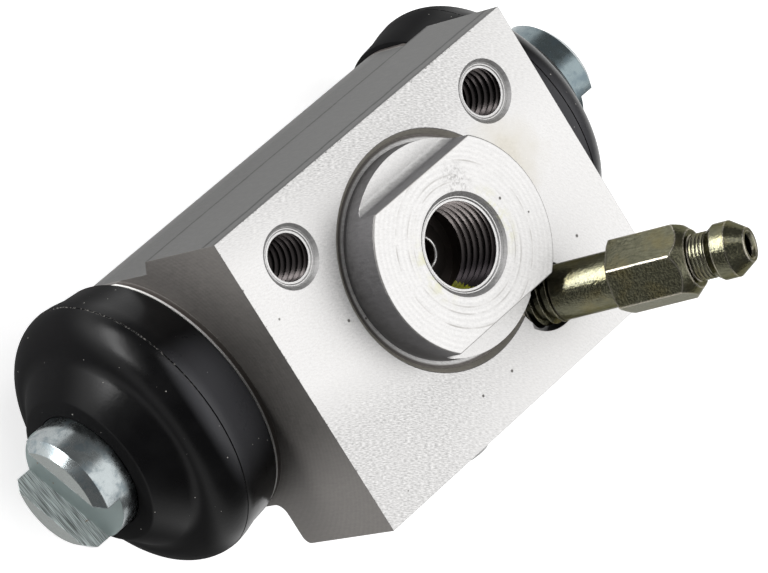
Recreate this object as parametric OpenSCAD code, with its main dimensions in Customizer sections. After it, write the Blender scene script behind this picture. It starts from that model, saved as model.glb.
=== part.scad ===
// Double-ended hydraulic wheel cylinder with two slotted pistons, rubber boots and a leaning bleeder screw.
// X runs along the bore, Y towards the edge with the two tapped holes and Z out of the mounting face.
// The origin is on the port's axis, level with the mounting face. Sizes are millimetres and degrees.

/* [Body] */
// Length between the two end faces
body_l = 43.6; // [41:0.2:48]
// Depth of the bore's axis below the mounting face
bore_drop = 21.4; // [21:0.1:23]
// Radius of the barrel round the bore
body_r = 13.65; // [13.2:0.05:14.2]
// Reach of the mounting face towards the tapped holes
hole_side = 15; // [14.6:0.1:16.5]
// Reach of the mounting face towards the bleeder
wing_side = 18.5; // [17.6:0.1:19.5]
// Depth of the block at the tapped holes
step_depth = 12.1; // [11.5:0.1:13]
// Height of the slanted step from the block to the barrel
step_slant = 1.05; // [0.6:0.05:1.6]
// Depth of the wing at the bleeder
wing_depth = 14.8; // [14.2:0.1:16]
// Rounding of the wing's back corner
wing_round = 0.9; // [0.3:0.1:1.5]
// Fillet between the wing and the barrel
wing_fillet = 1.2; // [0.5:0.1:2]

/* [Body ends] */
// Radius of the turned shoulder on each end face
ring_r = 14.04; // [13.7:0.02:14.4]
// Height of that shoulder
ring_t = 0.7; // [0.4:0.1:1]
// Radius of the spigot that carries the boot
spigot_r = 12.4; // [12:0.1:12.8]
// Reach of the spigot past the end face
spigot_l = 4.4; // [4:0.1:5]
// Start of the spigot's bead groove past the end face
bead_at = 1.7; // [1.4:0.1:2]
// Width of the bead groove
bead_w = 1.4; // [1:0.1:1.7]
// Depth of the bead groove
bead_d = 0.7; // [0.4:0.1:1]
// Chamfer on the spigot's outer edge
spigot_edge = 0.4; // [0.2:0.1:0.6]
// Radius of the bore
bore_r = 9.525; // [9:0.025:9.8]
// Chamfer at the mouth of the bore
bore_edge = 0.5; // [0.2:0.1:0.8]

/* [Boss] */
// Radius of the round boss on the mounting face
boss_r = 10.95; // [10:0.01:11.3]
// Height of the boss
boss_h = 4.5; // [3.8:0.1:6]
// Chamfer round the top of the boss
boss_edge = 0.1; // [0.1:0.05:0.5]
// Distance of each flat of the boss from its axis
flat_half = 8.17; // [7.6:0.01:8.8]
// Height of the ledge at the foot of each flat
ledge_h = 1.6; // [1.2:0.1:2]
// Fillet between flat and ledge
flat_fillet = 0.85; // [0.6:0.05:2.2]
// Outer radius of the groove round the boss
groove_r = 12.2; // [12:0.02:12.7]
// Depth of that groove
groove_d = 0.55; // [0.3:0.05:0.8]

/* [Tapped holes] */
// Distance between the two tapped holes
hole_pitch = 30; // [28:0.1:32]
// Distance of the tapped holes from the boss's axis, across the bore
hole_y = 9.2; // [8.6:0.1:10.2]
// Wall radius of the tapped holes
hole_r = 3; // [2.5:0.05:3.3]
// Depth of the tapped holes
hole_depth = 11; // [9:0.2:12]
// Chamfer at the mouth of the tapped holes
hole_edge = 0.3; // [0.1:0.05:0.5]
// Point angle of the drill that made them
drill_point = 118; // [110:1:140]

/* [Port] */
// Wall radius of the threaded port
port_r = 5; // [4.5:0.05:5.3]
// Chamfer at the mouth of the port
port_edge = 0.25; // [0.1:0.05:0.4]
// Depth of the tip of the seat below the boss
seat_depth = 7.1; // [6.6:0.1:8]
// Length of the port's wall that is left out below the seat's tip level
seat_gap = 0.2; // [0.1:0.05:0.4]
// Extra radius of the relief round the seat
relief_extra = 0.2; // [0.1:0.05:0.4]
// Height of the raised conical seat
seat_cone_h = 1; // [0.6:0.1:1.4]
// Radius of the foot of the seat's cone
seat_r = 3.6; // [3:0.1:4]
// Depth of the moat round the seat, below the cone's foot
moat_d = 1; // [0.6:0.1:1.4]
// Radius of the passage from the port to the bore
passage_r = 1.55; // [1:0.05:2]

/* [Lug] */
// Place of the side lug along the bore
lug_x = -4.75; // [-8:0.25:8]
// Depth of the lug's axis below the mounting face
lug_drop = 7.4; // [5:0.1:10]
// Radius of the lug
lug_r = 2.7; // [2:0.1:3.5]
// Reach of the lug past the side of the wing
lug_out = 1.95; // [1.5:0.05:4]
// Chamfer round the end of the lug
lug_edge = 0.4; // [0.2:0.1:0.8]

/* [Bleeder seat] */
// Place of the bleeder's axis on the mounting face, along the bore
bleed_x = 8.25; // [7.5:0.05:9]
// Place of the bleeder's axis on the mounting face, across the bore
bleed_y = -11.03; // [-12:0.01:-10.5]
// Lean of the bleeder's axis from upright
bleed_tilt = 28.6; // [24:0.2:32]
// Direction of that lean, turned about upright from the bore's direction
bleed_turn = -19.75; // [-26:0.25:-14]
// Radius of the counterbore in the face
counterbore_r = 3.5; // [3.2:0.05:3.9]
// Depth of the counterbore along the axis
counterbore_d = 1.2; // [0.8:0.1:2]
// Depth of the conical seat's lower edge along the axis
bleed_depth = 13.5; // [12.5:0.1:14]
// Radius of the passage below the seat
bleed_passage_r = 1.2; // [0.8:0.05:1.5]
// Length of that passage
bleed_passage_l = 7.5; // [7:0.1:9]

/* [Bleeder screw] */
// Outer radius of the screw's thread
screw_r = 3; // [2.6:0.05:3.1]
// Gap round the thread
screw_gap = 0.05; // [0.03:0.01:0.1]
// Gap between the screw's cone and its seat, along the axis
screw_seat_gap = 0.06; // [0.03:0.01:0.1]
// Radius of the flat on the point of the cone
point_r = 0.9; // [0.6:0.05:1.1]
// Radius of the plain stem above the cone
stem_r = 2.3; // [2:0.05:2.4]
// Length of the plain stem
stem_l = 2.4; // [2:0.1:3]
// Radius of the thread's core where it shows
core_r = 2.5; // [2:0.05:2.55]
// Reach of that core below the face, along the axis
core_in = 1.6; // [1.3:0.1:2.5]
// Reach of that core above the face, along the axis
core_out = 1.6; // [1:0.1:2.5]
// Radius of the plain shank
shank_r = 2.88; // [2.7:0.01:3.1]
// Start of the hexagon above the face
hex_at = 8.3; // [7:0.1:10]
// Length of the hexagon
hex_l = 8.3; // [7:0.1:9]
// Width across the hexagon's flats
hex_af = 7; // [6.5:0.1:8]
// Turn of the hexagon about its axis
hex_turn = 44.6; // [0:0.2:60]
// Length of the cone in front of the hexagon
hex_cone_l = 1.3; // [0.8:0.1:1.6]
// Radius at the front of that cone
hex_front_r = 2.95; // [2.7:0.05:3.1]
// Chamfer behind the hexagon
hex_back = 0.35; // [0.2:0.05:0.5]
// Radius of the neck behind the nipple's bulb
neck_r = 2.28; // [2:0.02:2.5]
// Length of that neck
neck_l = 1.8; // [1.4:0.1:2.4]
// Radius of the bulb
bulb_r = 2.86; // [2.6:0.02:3]
// Length of the bulb's rising cone
bulb_rise = 0.9; // [0.5:0.1:1.2]
// Length of the bulb's plain band
bulb_flat = 1.5; // [1:0.1:2]
// Length of the bulb's falling cone
bulb_fall = 1.7; // [1.2:0.1:2.2]
// Radius of the nipple's tip
tip_r = 1.75; // [1.6:0.05:2]
// Radius of the drilling along the screw
drill_r = 1.1; // [0.8:0.05:1.25]
// Chamfer at the mouth of that drilling
drill_edge = 0.3; // [0.1:0.05:0.35]
// Radius of the cross drilling in the stem
cross_r = 0.7; // [0.5:0.05:0.9]

/* [Pistons] */
// Gap between piston and bore
piston_gap = 0.045; // [0.03:0.005:0.06]
// Distance of the inner end of each piston from the middle of the bore
piston_in = 11.5; // [11:0.1:12.5]
// Reach of the piston's wide part past the end face
shoulder_out = 5; // [4:0.1:6]
// Radius of the piston's nose
nose_r = 6.4; // [6:0.05:6.8]
// Reach of the nose past the end face
nose_out = 17.5; // [17:0.1:19]
// Chamfer on the end of the nose
nose_edge = 0.95; // [0.5:0.05:1.2]
// Chamfer on the wide part's edges
piston_edge = 0.5; // [0.2:0.1:0.9]
// Width of the slot across the nose
slot_w = 6.9; // [6.4:0.1:7.4]
// Depth of the slot
slot_d = 2.7; // [2:0.1:3.2]
// Turn of the left piston's slot from the mounting face's plane
left_slot_turn = 35; // [0:1:90]
// Turn of the right piston's slot from the mounting face's plane
right_slot_turn = 35; // [0:1:90]
// Start of the lip groove in the nose past the end face
lip_at = 11.1; // [10.9:0.05:11.3]
// Width of the lip groove
lip_w = 1.2; // [1.1:0.05:1.45]
// Depth of the lip groove
lip_d = 0.65; // [0.4:0.05:0.9]

/* [Cups and spring] */
// Gap between cup and bore
cup_gap = 0.025; // [0.02:0.005:0.05]
// Gap between stacked pieces along the bore
stack_gap = 0.05; // [0.03:0.01:0.1]
// Thickness of the cup's back
cup_back = 1.5; // [1.2:0.1:2]
// Length of the cup's lip
cup_lip = 2.9; // [2.4:0.1:3.4]
// Radius of the cup's hollow at its floor
cup_floor_r = 6.6; // [6.2:0.1:7]
// Radius of the cup's hollow at its mouth
cup_mouth_r = 8.3; // [7.9:0.1:8.7]
// Sheet thickness of the spreader
sheet = 0.6; // [0.4:0.05:0.8]
// Radius of the hole in the spreader
spreader_hole_r = 1.8; // [1:0.1:2.5]
// Distance of the spreader's rim inside the cup's mouth
rim_in = 0.15; // [0.1:0.05:0.4]
// Radius of the spring's coil, to the middle of its wire
coil_r = 4.9; // [4.4:0.1:5.2]
// Radius of the spring's wire
wire_r = 0.5; // [0.4:0.05:0.55]
// Turns of the spring
coil_turns = 6; // [5:0.5:7]
// Spacing of the closed end coils, as a share of the wire's thickness
end_coil = 1.06; // [1.04:0.01:1.2]

/* [Boots] */
// Largest radius of the boot
boot_r = 14.9; // [14.5:0.05:15.2]
// Radius of the boot's collar in front
collar_r = 14.45; // [14.2:0.05:14.5]
// Radius of the boot's collar behind
collar_back_r = 14.25; // [13.9:0.05:14.4]
// Rounding of the collar's back edge
collar_edge = 0.5; // [0.3:0.1:0.8]
// Place of the boot's largest radius past the end face
bulge_at = 5.6; // [5.3:0.1:6]
// Length of the small ramp up to the largest radius
bulge_ramp = 0.25; // [0.15:0.05:0.4]
// Rounding radius of the bulge
bulge_r = 3.75; // [3.4:0.05:3.9]
// Radius of the valley in front of the bulge
valley_r = 2.5; // [2:0.1:2.8]
// Angle at which bulge and valley meet
valley_turn = 13; // [8:1:16]
// Slope of the boot's neck
boot_slope = 43; // [41:0.5:46]
// Outer radius of the neck's front edge
boot_neck_r = 8.4; // [8:0.05:8.6]
// Front of the boot's lip past the end face
boot_front = 12.65; // [12.55:0.05:13]
// Rubber thickness
boot_wall = 1.3; // [1:0.05:1.5]
// Gap between the lip and the piston
lip_gap = 0.1; // [0.06:0.01:0.14]
// Gap between the boot and the body's end
boot_gap = 0.05; // [0.03:0.01:0.08]

/* [Hidden] */
$fn = 96;
LEFT = -1;
RIGHT = 1;
OVER = 1;
ARC_STEPS = 12;
HEX_SIDES = 6;
WIRE_SIDES = 8;
COIL_STEPS = 16;
LUG_ROOT = 3;
end_x = body_l / 2;
piston_r = bore_r - piston_gap;
port_thread_l = seat_depth - seat_gap;
relief_r = port_r + relief_extra;
port_depth = seat_depth + seat_cone_h + moat_d;
bleed_hole_r = screw_r + screw_gap;
bleed_cone_top = bleed_depth - (bleed_hole_r - bleed_passage_r);
groove_floor_r = groove_r - groove_d;
drill_tip = hole_r / tan(drill_point / 2);
nose_groove_r = nose_r - lip_d;
cup_r = bore_r - cup_gap;
cup_l = cup_back + cup_lip;
hollow_slope = (cup_mouth_r - cup_floor_r) / cup_lip;
spreader_back = piston_in - 2 * stack_gap - cup_back;
spreader_rim = piston_in - stack_gap - cup_l + rim_in;
spring_half = spreader_back - sheet - stack_gap - wire_r;

// A point on an arc about c, at angle a from the bore's direction, as [radius, distance along the bore].
function arc_point(c, r, a) = [c[0] + r * sin(a), c[1] + r * cos(a)];

// Points along an arc about c from angle a0 to a1.
function arc(c, r, a0, a1) = [for (i = [0:ARC_STEPS]) arc_point(c, r, a0 + (a1 - a0) * i / ARC_STEPS)];

// Turns a solid made along Z to lie along the bore, pointing to one end.
module along_bore(side) {
  translate([0, 0, -bore_drop])
    rotate([0, side * 90, 0])
      children();
}

// Places a solid made along Z on the bleeder's axis, with its zero at the mounting face.
module on_bleeder() {
  translate([bleed_x, bleed_y, 0])
    rotate([0, 0, bleed_turn])
      rotate([0, bleed_tilt, 0])
        children();
}

// The wing's outline with its rounded back corner and the fillet to the barrel.
module wing_outline() {
  translate([-wing_side, -wing_depth + wing_round])
    square([wing_side, wing_depth - wing_round]);
  translate([-wing_side + wing_round, -wing_depth])
    square([wing_side - wing_round, wing_depth]);
  translate([-wing_side + wing_round, -wing_depth + wing_round])
    circle(wing_round);
  difference() {
    translate([-body_r - wing_fillet, -wing_depth - wing_fillet])
      square(wing_fillet + OVER);
    translate([-body_r - wing_fillet, -wing_depth - wing_fillet])
      circle(wing_fillet);
  }
}

// The body's cross-section, seen along the bore: Y across, Z up.
module body_outline() {
  translate([0, -bore_drop])
    circle(body_r);
  translate([-body_r, -bore_drop])
    square([2 * body_r, bore_drop]);
  wing_outline();
  polygon([
    [0, 0], [hole_side, 0], [hole_side, -step_depth],
    [body_r, -step_depth - step_slant], [0, -step_depth - step_slant]
  ]);
}

// The cross-section drawn out to a length, centred on the origin.
module body_block(length) {
  translate([-length / 2, 0, 0])
    rotate([90, 0, 90])
      linear_extrude(length)
        body_outline();
}

// The low shoulder at both ends, cut off where the block ends.
module end_shoulders() {
  intersection() {
    body_block(body_l + 2 * ring_t);
    translate([-end_x - OVER, 0, -bore_drop])
      rotate([0, 90, 0])
        cylinder(h = body_l + 2 * OVER, r = ring_r);
  }
}

// One boot spigot with its bead groove.
module spigot(side) {
  along_bore(side)
    rotate_extrude()
      polygon([
        [0, 0], [spigot_r, 0],
        [spigot_r, end_x + bead_at], [spigot_r - bead_d, end_x + bead_at],
        [spigot_r - bead_d, end_x + bead_at + bead_w], [spigot_r, end_x + bead_at + bead_w],
        [spigot_r, end_x + spigot_l - spigot_edge], [spigot_r - spigot_edge, end_x + spigot_l],
        [0, end_x + spigot_l]
      ]);
}

// The bore with a chamfered mouth, from the middle to one end.
module half_bore(side) {
  along_bore(side)
    rotate_extrude()
      polygon([
        [0, -OVER], [bore_r, -OVER],
        [bore_r, end_x + spigot_l - bore_edge], [bore_r + bore_edge, end_x + spigot_l],
        [bore_r + bore_edge, end_x + spigot_l + OVER], [0, end_x + spigot_l + OVER]
      ]);
}

// The round boss with a chamfered top.
module boss_solid() {
  rotate_extrude()
    polygon([
      [0, -OVER], [boss_r, -OVER], [boss_r, boss_h - boss_edge],
      [boss_r - boss_edge, boss_h], [0, boss_h]
    ]);
}

// What is milled away beside one flat of the boss, with a fillet at its foot.
module flat_cut() {
  translate([-boss_r - OVER, 0, 0])
    rotate([90, 0, 90])
      linear_extrude(2 * boss_r + 2 * OVER)
        union() {
          translate([flat_half + flat_fillet, ledge_h])
            square([boss_r, boss_h]);
          translate([flat_half, ledge_h + flat_fillet])
            square([boss_r, boss_h]);
          translate([flat_half + flat_fillet, ledge_h + flat_fillet])
            circle(flat_fillet);
        }
}

// The groove round the boss, with a sloping outer wall.
module boss_groove() {
  rotate_extrude()
    polygon([
      [boss_r, -groove_d], [groove_floor_r, -groove_d], [groove_r, 0],
      [groove_r, OVER], [boss_r, OVER]
    ]);
}

// One blind tapped hole.
module tapped_hole(x) {
  translate([x, hole_y, 0])
    rotate_extrude()
      polygon([
        [0, -hole_depth - drill_tip], [hole_r, -hole_depth], [hole_r, -hole_edge],
        [hole_r + hole_edge, 0], [hole_r + hole_edge, OVER], [0, OVER]
      ]);
}

// The threaded port: mouth, wall, relief, moat, raised seat and the passage to the bore.
module port() {
  translate([0, 0, boss_h])
    rotate_extrude()
      polygon([
        [0, OVER], [port_r + port_edge, OVER], [port_r + port_edge, 0], [port_r, -port_edge],
        [port_r, -port_thread_l], [relief_r, -port_thread_l], [relief_r, -port_depth],
        [seat_r, -port_depth], [seat_r, -seat_depth - seat_cone_h],
        [passage_r, -seat_depth], [passage_r, -bore_drop - boss_h], [0, -bore_drop - boss_h]
      ]);
}

// The bleeder's hole: counterbore, tapped wall, conical seat and the passage to the bore.
module bleeder_hole() {
  on_bleeder()
    rotate_extrude()
      polygon([
        [0, boss_r], [counterbore_r, boss_r], [counterbore_r, -counterbore_d],
        [bleed_hole_r, -counterbore_d], [bleed_hole_r, -bleed_cone_top],
        [bleed_passage_r, -bleed_depth], [bleed_passage_r, -bleed_depth - bleed_passage_l],
        [0, -bleed_depth - bleed_passage_l]
      ]);
}

// The round lug on the side of the wing.
module lug() {
  translate([lug_x, -wing_side + LUG_ROOT, -lug_drop])
    rotate([90, 0, 0])
      rotate_extrude()
        polygon([
          [0, 0], [lug_r, 0], [lug_r, LUG_ROOT + lug_out - lug_edge],
          [lug_r - lug_edge, LUG_ROOT + lug_out], [0, LUG_ROOT + lug_out]
        ]);
}

// Aluminium body with every machined feature.
module cylinder_body() {
  color([0.80, 0.80, 0.79])
    difference() {
      union() {
        difference() {
          body_block(body_l);
          boss_groove();
        }
        end_shoulders();
        spigot(LEFT);
        spigot(RIGHT);
        lug();
        difference() {
          boss_solid();
          flat_cut();
          mirror([0, 1, 0])
            flat_cut();
        }
      }
      half_bore(LEFT);
      half_bore(RIGHT);
      tapped_hole(-hole_pitch / 2);
      tapped_hole(hole_pitch / 2);
      port();
      bleeder_hole();
    }
}

// A piston turned about Z, its inner end nearest the origin, with its slot turned by an angle.
module piston(slot_turn) {
  difference() {
    rotate_extrude()
      polygon([
        [0, piston_in], [piston_r - piston_edge, piston_in], [piston_r, piston_in + piston_edge],
        [piston_r, end_x + shoulder_out - piston_edge], [piston_r - piston_edge, end_x + shoulder_out],
        [nose_r, end_x + shoulder_out], [nose_r, end_x + lip_at], [nose_groove_r, end_x + lip_at],
        [nose_groove_r, end_x + lip_at + lip_w], [nose_r, end_x + lip_at + lip_w],
        [nose_r, end_x + nose_out - nose_edge], [nose_r - nose_edge, end_x + nose_out],
        [0, end_x + nose_out]
      ]);
    rotate([0, 0, slot_turn])
      translate([-nose_r - OVER, -slot_w / 2, end_x + nose_out - slot_d])
        cube([2 * (nose_r + OVER), slot_w, slot_d + OVER]);
  }
}

// Zinc-plated piston at the left end.
module left_piston() {
  color([0.58, 0.60, 0.61])
    along_bore(LEFT)
      piston(left_slot_turn - 90);
}

// Zinc-plated piston at the right end.
module right_piston() {
  color([0.58, 0.60, 0.61])
    along_bore(RIGHT)
      piston(-right_slot_turn - 90);
}

// Rubber cup, its lip towards the middle of the bore.
module cup_seal() {
  rotate_extrude()
    polygon([
      [0, piston_in - stack_gap], [cup_r, piston_in - stack_gap],
      [cup_r, piston_in - stack_gap - cup_l], [cup_mouth_r, piston_in - stack_gap - cup_l],
      [cup_floor_r, piston_in - stack_gap - cup_back], [0, piston_in - stack_gap - cup_back]
    ]);
}

// Rubber cup behind the left piston.
module left_cup_seal() {
  color([0.10, 0.10, 0.11])
    along_bore(LEFT)
      cup_seal();
}

// Rubber cup behind the right piston.
module right_cup_seal() {
  color([0.10, 0.10, 0.11])
    along_bore(RIGHT)
      cup_seal();
}

// Dished steel spreader that holds the cup's lip against the bore.
module cup_spreader() {
  foot_r = cup_floor_r - stack_gap;
  rim_r = foot_r + hollow_slope * (spreader_back - spreader_rim);
  rotate_extrude()
    polygon([
      [spreader_hole_r, spreader_back], [foot_r, spreader_back], [rim_r, spreader_rim],
      [rim_r - sheet, spreader_rim], [foot_r - sheet, spreader_back - sheet],
      [spreader_hole_r, spreader_back - sheet]
    ]);
}

// Spreader in the left cup.
module left_cup_spreader() {
  color([0.62, 0.63, 0.64])
    along_bore(LEFT)
      cup_spreader();
}

// Spreader in the right cup.
module right_cup_spreader() {
  color([0.62, 0.63, 0.64])
    along_bore(RIGHT)
      cup_spreader();
}

// Place of the wire's middle along the bore after a number of turns, with closed end coils.
function coil_x(u) =
  let (pitch = 2 * wire_r * end_coil, rise = 2 * spring_half - 2 * pitch)
  u < 1 ? -spring_half + pitch * u
  : u > coil_turns - 1 ? spring_half - pitch * (coil_turns - u)
  : -spring_half + pitch + rise * (u - 1) / (coil_turns - 2);

// One corner of the wire's section: turns u along the coil, angle a about the wire.
function coil_point(u, a) = [
  coil_x(u) + wire_r * sin(a),
  (coil_r + wire_r * cos(a)) * cos(360 * u),
  (coil_r + wire_r * cos(a)) * sin(360 * u) - bore_drop
];

// Steel coil spring between the two spreaders.
module return_spring() {
  rings = round(coil_turns * COIL_STEPS);
  color([0.55, 0.56, 0.57])
    polyhedron(
      points = [
        for (i = [0:rings])
          for (j = [0:WIRE_SIDES - 1])
            coil_point(i / COIL_STEPS, 360 * j / WIRE_SIDES)
      ],
      faces = concat(
        [[for (j = [0:WIRE_SIDES - 1]) j]],
        [
          for (i = [0:rings - 1])
            for (j = [0:WIRE_SIDES - 1])
              for (f = coil_faces(i * WIRE_SIDES, j)) f
        ],
        [[for (j = [WIRE_SIDES - 1:-1:0]) rings * WIRE_SIDES + j]]
      ),
      convexity = 10
    );
}

// The two triangles between one ring of the wire and the next, at side j.
function coil_faces(base, j) =
  let (k = (j + 1) % WIRE_SIDES)
  [
    [base + k, base + j, base + WIRE_SIDES + j],
    [base + k, base + WIRE_SIDES + j, base + WIRE_SIDES + k]
  ];

// Rubber boot: collar on the spigot, bulge, valley, sloping neck and a lip in the piston's groove.
module boot() {
  bulge_c = [boot_r - bulge_r, end_x + bulge_at];
  valley_c = arc_point(bulge_c, bulge_r + valley_r, valley_turn);
  valley_in = 180 + valley_turn;
  valley_out = 270 - boot_slope;
  neck_top = arc_point(valley_c, valley_r, valley_out);
  neck_in = arc_point(valley_c, valley_r + boot_wall, valley_out);
  neck_x = neck_top[1] + (neck_top[0] - boot_neck_r) / tan(boot_slope);
  lip_back = end_x + lip_at + lip_gap;
  lip_front = end_x + lip_at + lip_w - lip_gap;
  lip_r = nose_groove_r + lip_gap;
  lip_top = neck_in[0] - (lip_back - neck_in[1]) * tan(boot_slope);
  front_r = nose_r + lip_gap;
  back = end_x + ring_t + boot_gap;
  collar_in = spigot_r + boot_gap;
  bead_r = collar_in - bead_d;
  seat = end_x + spigot_l + boot_gap;
  hollow_r = boot_r - boot_wall;
  rotate_extrude()
    polygon(concat(
      [
        [collar_in, back], [collar_back_r - collar_edge, back], [collar_back_r, back + collar_edge],
        [collar_r, end_x + bulge_at - bulge_ramp]
      ],
      arc(bulge_c, bulge_r, 90, valley_turn),
      arc(valley_c, valley_r, valley_in, valley_out),
      [
        [boot_neck_r, neck_x], [(boot_neck_r + front_r) / 2, end_x + boot_front],
        [front_r, end_x + boot_front], [front_r, lip_front], [lip_r, lip_front],
        [lip_r, lip_back], [lip_top, lip_back]
      ],
      arc(valley_c, valley_r + boot_wall, valley_out, valley_in),
      arc(bulge_c, bulge_r - boot_wall, valley_turn, 90),
      [
        [hollow_r, seat], [collar_in, seat],
        [collar_in, end_x + bead_at + bead_w - boot_gap], [bead_r, end_x + bead_at + bead_w - boot_gap],
        [bead_r, end_x + bead_at + boot_gap], [collar_in, end_x + bead_at + boot_gap]
      ]
    ));
}

// Rubber boot at the left end.
module left_boot() {
  color([0.11, 0.11, 0.12])
    along_bore(LEFT)
      boot();
}

// Rubber boot at the right end.
module right_boot() {
  color([0.11, 0.11, 0.12])
    along_bore(RIGHT)
      boot();
}

// The screw's turned outline from its cone to the foot of the hexagon.
module screw_lower() {
  cone_foot = -bleed_depth + screw_seat_gap - bleed_passage_r;
  stem_foot = cone_foot + stem_r;
  rotate_extrude()
    polygon([
      [0, cone_foot + point_r], [point_r, cone_foot + point_r], [stem_r, stem_foot],
      [stem_r, stem_foot + stem_l], [screw_r, stem_foot + stem_l + screw_r - stem_r],
      [screw_r, -core_in], [core_r, -core_in], [core_r, core_out], [shank_r, core_out],
      [shank_r, hex_at], [0, hex_at]
    ]);
}

// The hexagon with its front cone and back chamfer.
module screw_hex() {
  corner_r = hex_af / sqrt(3);
  intersection() {
    translate([0, 0, hex_at])
      rotate([0, 0, hex_turn])
        cylinder(h = hex_l, r = corner_r, $fn = HEX_SIDES);
    rotate_extrude()
      polygon([
        [0, hex_at], [corner_r - hex_back, hex_at], [corner_r + hex_back, hex_at + hex_back],
        [corner_r + hex_back, hex_at + hex_l - hex_cone_l],
        [corner_r, hex_at + hex_l - hex_cone_l], [hex_front_r, hex_at + hex_l], [0, hex_at + hex_l]
      ]);
  }
}

// The neck and bulb of the hose nipple.
module screw_nipple() {
  start = hex_at + hex_l;
  bulb = start + neck_l;
  tip = bulb + bulb_rise + bulb_flat + bulb_fall;
  rotate_extrude()
    polygon([
      [0, start - OVER], [neck_r, start - OVER], [neck_r, bulb], [bulb_r, bulb + bulb_rise],
      [bulb_r, bulb + bulb_rise + bulb_flat], [tip_r, tip], [0, tip]
    ]);
}

// The drilling along the screw and the cross drilling in its stem.
module screw_drilling() {
  tip = hex_at + hex_l + neck_l + bulb_rise + bulb_flat + bulb_fall;
  cross = -bleed_depth + screw_seat_gap - bleed_passage_r + stem_r + stem_l / 2;
  rotate_extrude()
    polygon([
      [0, cross], [drill_r, cross], [drill_r, tip - drill_edge],
      [drill_r + drill_edge, tip], [drill_r + drill_edge, tip + OVER], [0, tip + OVER]
    ]);
  translate([-stem_r - OVER, 0, cross])
    rotate([0, 90, 0])
      cylinder(h = 2 * (stem_r + OVER), r = cross_r);
}

// Olive chromated bleeder screw.
module bleeder_screw() {
  color([0.36, 0.36, 0.28])
    on_bleeder()
      difference() {
        union() {
          screw_lower();
          screw_hex();
          screw_nipple();
        }
        screw_drilling();
      }
}

cylinder_body();
left_piston();
right_piston();
left_cup_seal();
right_cup_seal();
left_cup_spreader();
right_cup_spreader();
return_spring();
left_boot();
right_boot();
bleeder_screw();
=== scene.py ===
"""Dresses a hydraulic wheel cylinder: machined body, slotted pistons, rubber boots and a bleeder screw."""

import logging
import math
from collections.abc import Callable
from dataclasses import dataclass
from enum import Enum
from functools import partial
from typing import Any

import bpy
from mathutils import Matrix, Vector


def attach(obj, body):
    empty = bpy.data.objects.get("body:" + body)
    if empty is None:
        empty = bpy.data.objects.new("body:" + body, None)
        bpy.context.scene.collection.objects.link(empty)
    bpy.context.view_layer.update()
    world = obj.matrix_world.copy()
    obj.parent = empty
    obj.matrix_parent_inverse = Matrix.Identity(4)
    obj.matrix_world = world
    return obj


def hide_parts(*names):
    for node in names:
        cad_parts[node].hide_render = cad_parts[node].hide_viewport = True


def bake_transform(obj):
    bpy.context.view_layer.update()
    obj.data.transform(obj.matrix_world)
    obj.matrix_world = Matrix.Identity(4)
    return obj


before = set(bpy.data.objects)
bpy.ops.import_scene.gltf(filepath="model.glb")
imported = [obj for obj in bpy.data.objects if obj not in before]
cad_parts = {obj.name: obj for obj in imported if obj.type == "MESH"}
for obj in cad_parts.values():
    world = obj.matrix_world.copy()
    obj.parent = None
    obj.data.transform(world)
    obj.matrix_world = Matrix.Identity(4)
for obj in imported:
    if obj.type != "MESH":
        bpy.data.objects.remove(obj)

# Sizes that several pieces share, in millimetres and degrees.
MM = 0.001
BORE_DROP = 21.4
END_X = 21.8
FLANK_Y = 15.0
TAPPED_X = 15.0
TAPPED_Y = 9.2
BLEED_BASE = (8.25, -11.03, 0.0)
BLEED_TILT = 28.6
BLEED_TURN = -19.75

# A Mix node's inputs 6 and 7 and output 2 are colours, and its inputs 2 and 3 and output 0 are numbers.
MIX_COLOURS = {"data_type": "RGBA", "out": 2}

Point = tuple[float, float, float]
Sockets = dict[Any, Any] | tuple[Any, ...]
Adder = Callable[..., bpy.types.NodeSocket]

log = logging.getLogger("wheel_cylinder")


class End(Enum):
    """The two ends of the bore, by the sign of X."""

    LEFT = -1
    RIGHT = 1


def linear(hex_value: str) -> tuple[float, float, float, float]:
    """Turns an sRGB hex colour into linear light.

    Args:
        hex_value: Colour such as "#d9d8d5".

    Returns:
        Red, green, blue and full opacity.
    """
    parts = [int(hex_value[i : i + 2], 16) / 255 for i in (1, 3, 5)]
    red, green, blue = (p / 12.92 if p <= 0.04045 else ((p + 0.055) / 1.055) ** 2.4 for p in parts)
    return red, green, blue, 1.0


def plug(item: bpy.types.Node, sockets: Sockets) -> None:
    """Sets or links inputs of a node.

    Args:
        item: Node to set up.
        sockets: Values, or the outputs that feed the inputs, in order or by the input's name or number.
    """
    for key, value in sockets.items() if isinstance(sockets, dict) else enumerate(sockets):
        if isinstance(value, bpy.types.NodeSocket):
            item.id_data.links.new(value, item.inputs[key])
        else:
            item.inputs[key].default_value = value


def add_node(
    tree: bpy.types.NodeTree,
    kind: str,
    sockets: Sockets = (),
    out: int | str = 0,
    **settings: Any,
) -> bpy.types.NodeSocket:
    """Adds one shader node.

    Args:
        tree: Node tree that takes the node.
        kind: Blender's name of the node type, without its prefix.
        sockets: Values, or the outputs that feed the inputs, in order or by the input's name or number.
        out: Which output to return.
        settings: Properties of the node itself.

    Returns:
        One output of the new node.
    """
    item = tree.nodes.new(f"ShaderNode{kind}")
    for key, value in settings.items():
        setattr(item, key, value)
    plug(item, sockets)
    return item.outputs[out]


def new_material(name: str) -> tuple[bpy.types.Material, Adder, bpy.types.Node]:
    """Starts a node material.

    Args:
        name: Name of the real material.

    Returns:
        The material, what adds nodes to it, and its main shader.
    """
    material = bpy.data.materials.new(name)
    material.use_nodes = True
    tree = material.node_tree
    return material, partial(add_node, tree), tree.nodes["Principled BSDF"]


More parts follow.
